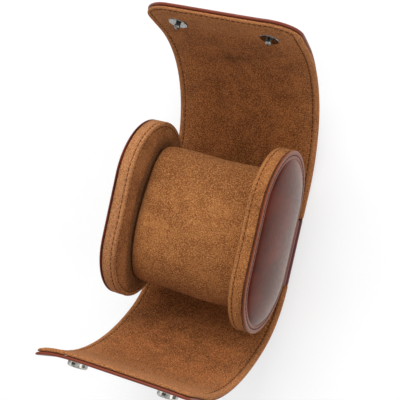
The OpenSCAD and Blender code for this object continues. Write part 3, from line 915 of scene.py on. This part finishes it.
# The insides of the sockets are painted dark as shade. Their axes stand square to the flap's tip.
socket_slope = np.radians(LOWER_ARCS[0][1] + LOWER_ARCS[1][1])
socket_axis = (0.0, float(np.sin(socket_slope)), float(-np.cos(socket_slope)))
socket_places = []
for node in ("snap_socket_left", "snap_socket_right"):
    low, high = (np.array(corner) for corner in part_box(node))
    socket_places.append((tuple(float(v) for v in (low + high) / 2), socket_axis))
SOCKET_METAL = plate("socket_metal", tone(140, 140, 134), tone(206, 204, 196), 0.2, socket_places)
for node, metal in (("snap_stud_left", STUD_METAL), ("snap_stud_right", STUD_METAL),
                    ("stud_rivets", STUD_METAL), ("snap_socket_left", SOCKET_METAL),
                    ("snap_socket_right", SOCKET_METAL), ("socket_springs", SOCKET_METAL),
                    ("socket_rivets", SOCKET_METAL)):
    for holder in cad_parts[node].material_slots:
        holder.material = metal


# A pale table under plain studio light: two large soft lamps, one above the other, high behind
# the studs' flap, and a smaller one on either side that the polished leather faces mirror.
def backdrop(name):
    """A pale matt table. The camera sees over half of it as plain white, so that it is white
    with a faint shadow, and polished faces mirror it as white."""
    n = Nodes(name)
    dust = n.noise(30.0, 3.0)
    n.done(n.mix(n.spread(dust, 0.3, 0.7), tone(240, 240, 240), tone(243, 243, 243)), 0.9)
    path = n.tree.nodes.new("ShaderNodeLightPath")
    seen = n.math("MAXIMUM", n.math("MULTIPLY", path.outputs["Is Camera Ray"], 0.6), n.math(
        "MAXIMUM", path.outputs["Is Glossy Ray"], path.outputs["Is Transmission Ray"]))
    white = n.tree.nodes.new("ShaderNodeEmission")
    white.inputs["Strength"].default_value = 1.02
    blend = n.tree.nodes.new("ShaderNodeMixShader")
    n.link(seen, blend.inputs[0])
    n.tree.links.new(n.shader.outputs[0], blend.inputs[1])
    n.tree.links.new(white.outputs[0], blend.inputs[2])
    n.tree.links.new(blend.outputs[0], n.tree.nodes["Material Output"].inputs["Surface"])
    return n.material


floor_mesh = bpy.data.meshes.new("floor")
FLOOR_HALF = 3.0
FLOOR_DROP = 0.0002
floor_mesh.from_pydata(
    [(x * FLOOR_HALF, y * FLOOR_HALF, 0) for x, y in ((-1, -1), (1, -1), (1, 1), (-1, 1))],
    [], [(0, 1, 2, 3)])
floor_mesh.materials.append(backdrop("floor_white"))
floor = bpy.data.objects.new("floor", floor_mesh)
bpy.context.scene.collection.objects.link(floor)
floor.location.z = -FLOOR_DROP

# The room is evenly bright, a little more so overhead than at the horizon
world = bpy.data.worlds.new("studio")
world.use_nodes = True
sky = world.node_tree
direction = sky.nodes.new("ShaderNodeTexCoord")
parts = sky.nodes.new("ShaderNodeSeparateXYZ")
fall = sky.nodes.new("ShaderNodeMapRange")
fall.interpolation_type = "SMOOTHSTEP"
for socket, number in zip(("From Min", "From Max", "To Min", "To Max"),
                          (-0.1, 0.75, 0.6, 0.72)):
    fall.inputs[socket].default_value = number
sky.links.new(direction.outputs["Generated"], parts.inputs[0])
sky.links.new(parts.outputs["Z"], fall.inputs["Value"])
sky.links.new(fall.outputs["Result"], sky.nodes["Background"].inputs["Strength"])
sky.nodes["Background"].inputs["Color"].default_value = (1, 1, 1, 1)
bpy.context.scene.world = world


AIM = (0.0, 0.0, 0.03)


def soft_box(name, place, size, power):
    """A square lamp at place, turned to face AIM."""
    lamp = bpy.data.lights.new(name, "AREA")
    lamp.shape = "RECTANGLE"
    lamp.size, lamp.size_y, lamp.energy = size, size, power
    holder = bpy.data.objects.new(name, lamp)
    back = np.array(place) - np.array(AIM)
    back /= np.linalg.norm(back)
    side = np.cross([0.0, 1.0, 0.0] if abs(back[1]) < 0.9 else [1.0, 0.0, 0.0], back)
    side /= np.linalg.norm(side)
    m = np.eye(4)
    m[:3, :3] = np.stack([side, np.cross(back, side), back], axis=1)
    m[:3, 3] = place
    holder.matrix_world = Matrix(m.tolist())
    bpy.context.scene.collection.objects.link(holder)


soft_box("low_key", (-0.1, 0.95, 0.55), 0.6, 4.3)
soft_box("high_key", (-0.1, 0.7, 0.85), 0.6, 4.6)
soft_box("side_box", (0.9, 0.1, 0.5), 0.5, 2.0)
soft_box("left_box", (-0.9, 0.0, 0.45), 0.5, 0.9)
bpy.context.scene.view_settings.view_transform = "Standard"
